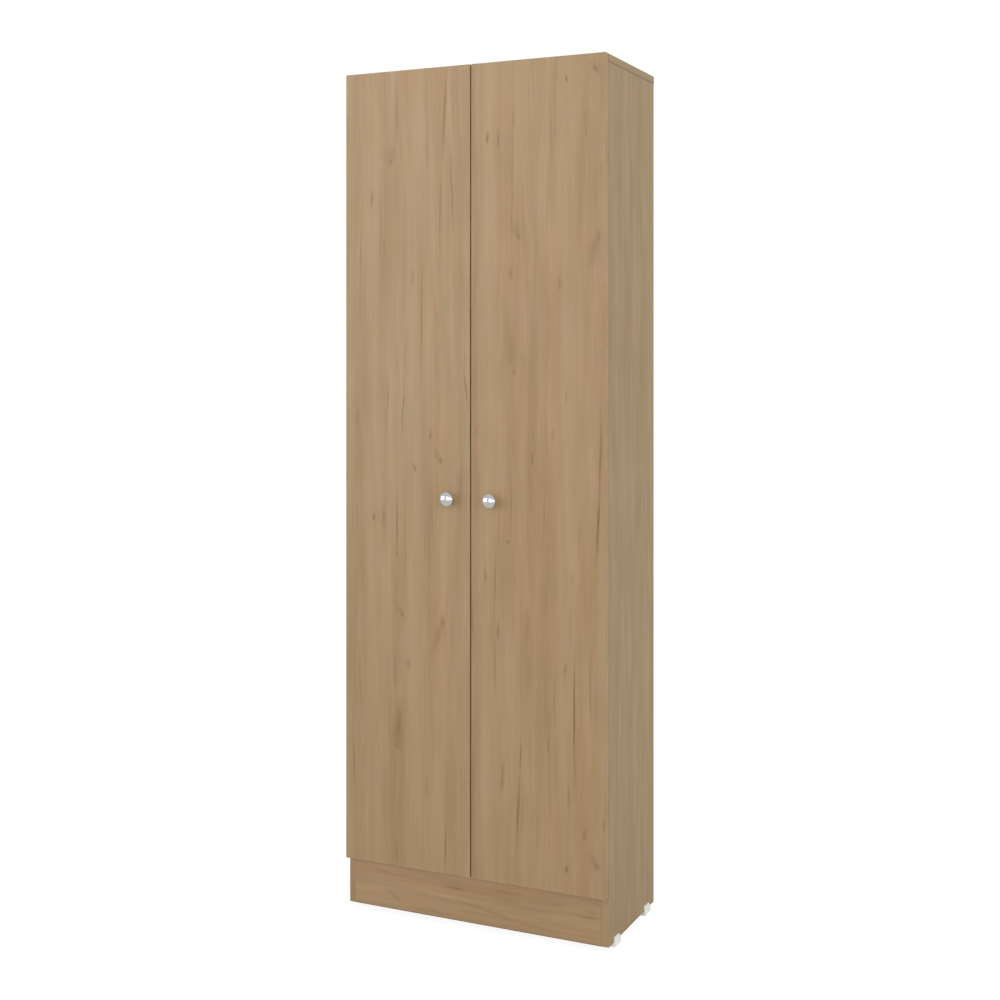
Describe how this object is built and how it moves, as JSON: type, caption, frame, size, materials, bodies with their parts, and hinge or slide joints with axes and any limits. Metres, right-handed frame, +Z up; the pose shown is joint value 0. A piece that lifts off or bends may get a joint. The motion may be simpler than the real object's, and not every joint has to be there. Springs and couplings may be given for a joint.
{
  "type": "storage cabinet",
  "caption": "Tall narrow two-door storage cabinet in light oak decor with round knobs, cup hinges, adjustable shelves and a recessed plinth on small feet.",
  "frame": {"origin": "on the floor under the middle of the cabinet's box", "axes": "+X to the right seen from the front, +Y to the rear, +Z up"},
  "size_m": [0.606, 0.3216, 1.805],
  "materials": {
    "oak_board": "melamine-faced chipboard, light oak print, satin",
    "oak_edge": "plastic edge strip, light oak print, satin",
    "back_board": "thin fibreboard, light oak print inside, satin",
    "chrome": "polished chrome plate",
    "nickel": "nickel-plated steel, satin",
    "zinc": "zinc die casting, dull",
    "beech": "raw beech",
    "foot_plastic": "white plastic, slightly translucent, satin",
    "oak_plastic": "plastic in oak colour, satin",
    "clear_plastic": "clear soft plastic, satin"
  },
  "bodies": {
    "carcass": {"anti_tip_brackets": "nickel", "back_joiner": "oak_plastic", "back_nails": "nickel", "back_panel_lower": "back_board", "back_panel_upper": "back_board", "bottom_panel": "oak_board", "bracket_screws": "nickel", "cam_bolts": "zinc", "cam_covers": "oak_plastic", "cam_locks": "zinc", "carcass_edge_bands": "oak_edge", "foot_nails": "nickel", "hinge_arm_screws": "nickel", "hinge_plate_screws": "nickel", "kick_board": "oak_board", "left_arm_pins": "nickel", "left_front_foot": "foot_plastic", "left_hinge_arms": "nickel", "left_hinge_plates": "nickel", "left_rear_foot": "foot_plastic", "left_side": "oak_board", "middle_shelf": "oak_board", "right_arm_pins": "nickel", "right_front_foot": "foot_plastic", "right_hinge_arms": "nickel", "right_hinge_plates": "nickel", "right_rear_foot": "foot_plastic", "right_side": "oak_board", "shelf_pins": "nickel", "top_panel": "oak_board", "wood_dowels": "beech"},
    "left_door_leaf": {"left_door": "oak_board", "left_door_edge_bands": "oak_edge", "left_door_bumpers": "clear_plastic", "left_knob": "chrome", "left_knob_screw": "nickel", "left_hinge_cups": "nickel", "left_cup_screws": "nickel", "left_cup_pins": "nickel"},
    "left_outer_link_set": {"left_outer_links": "nickel"},
    "left_inner_link_set": {"left_inner_links": "nickel"},
    "right_door_leaf": {"right_door": "oak_board", "right_door_edge_bands": "oak_edge", "right_door_bumpers": "clear_plastic", "right_knob": "chrome", "right_knob_screw": "nickel", "right_hinge_cups": "nickel", "right_cup_screws": "nickel", "right_cup_pins": "nickel"},
    "right_outer_link_set": {"right_outer_links": "nickel"},
    "right_inner_link_set": {"right_inner_links": "nickel"},
    "lowest_shelf_board": {"lowest_shelf": "oak_board", "lowest_shelf_edge_band": "oak_edge"},
    "lower_shelf_board": {"lower_shelf": "oak_board", "lower_shelf_edge_band": "oak_edge"},
    "upper_shelf_board": {"upper_shelf": "oak_board", "upper_shelf_edge_band": "oak_edge"},
    "highest_shelf_board": {"highest_shelf": "oak_board", "highest_shelf_edge_band": "oak_edge"}
  },
  "joints": [
    {"name": "right_outer_link_swing", "type": "hinge", "parent": "carcass", "child": "right_outer_link_set", "pos_m": [0.2682, -0.10835, 0.21], "axis": [0, 0, -1], "range_deg": [0, 24.7]},
    {"name": "right_door_swing", "type": "hinge", "parent": "right_outer_link_set", "child": "right_door_leaf", "pos_m": [0.2915, -0.12405, 0.21], "axis": [0, 0, 1], "range_deg": [0, 119.7]},
    {"name": "right_inner_link_swing", "type": "hinge", "parent": "carcass", "child": "right_inner_link_set", "pos_m": [0.2719, -0.12855, 0.21], "axis": [0, 0, -1], "range_deg": [0, 22.9]},
    {"name": "left_outer_link_swing", "type": "hinge", "parent": "carcass", "child": "left_outer_link_set", "pos_m": [-0.2682, -0.10835, 0.21], "axis": [0, 0, 1], "range_deg": [0, 24.7]},
    {"name": "left_door_swing", "type": "hinge", "parent": "left_outer_link_set", "child": "left_door_leaf", "pos_m": [-0.2915, -0.12405, 0.21], "axis": [0, 0, -1], "range_deg": [0, 119.7]},
    {"name": "left_inner_link_swing", "type": "hinge", "parent": "carcass", "child": "left_inner_link_set", "pos_m": [-0.2719, -0.12855, 0.21], "axis": [0, 0, 1], "range_deg": [0, 22.9]},
    {"name": "lowest_shelf_lift", "type": "slide", "parent": "carcass", "child": "lowest_shelf_board", "axis": [0, 0, 1], "range_m": [0, 0.032]},
    {"name": "lower_shelf_lift", "type": "slide", "parent": "carcass", "child": "lower_shelf_board", "axis": [0, 0, 1], "range_m": [0, 0.032]},
    {"name": "upper_shelf_lift", "type": "slide", "parent": "carcass", "child": "upper_shelf_board", "axis": [0, 0, 1], "range_m": [0, 0.032]},
    {"name": "highest_shelf_lift", "type": "slide", "parent": "carcass", "child": "highest_shelf_board", "axis": [0, 0, 1], "range_m": [0, 0.032]}
  ],
  "couplings": [
    {"joint": "right_outer_link_swing", "follows": "right_door_swing", "ratio": 0.20635},
    {"joint": "right_inner_link_swing", "follows": "right_door_swing", "ratio": 0.19127},
    {"joint": "left_outer_link_swing", "follows": "left_door_swing", "ratio": 0.20635},
    {"joint": "left_inner_link_swing", "follows": "left_door_swing", "ratio": 0.19127}
  ]
}
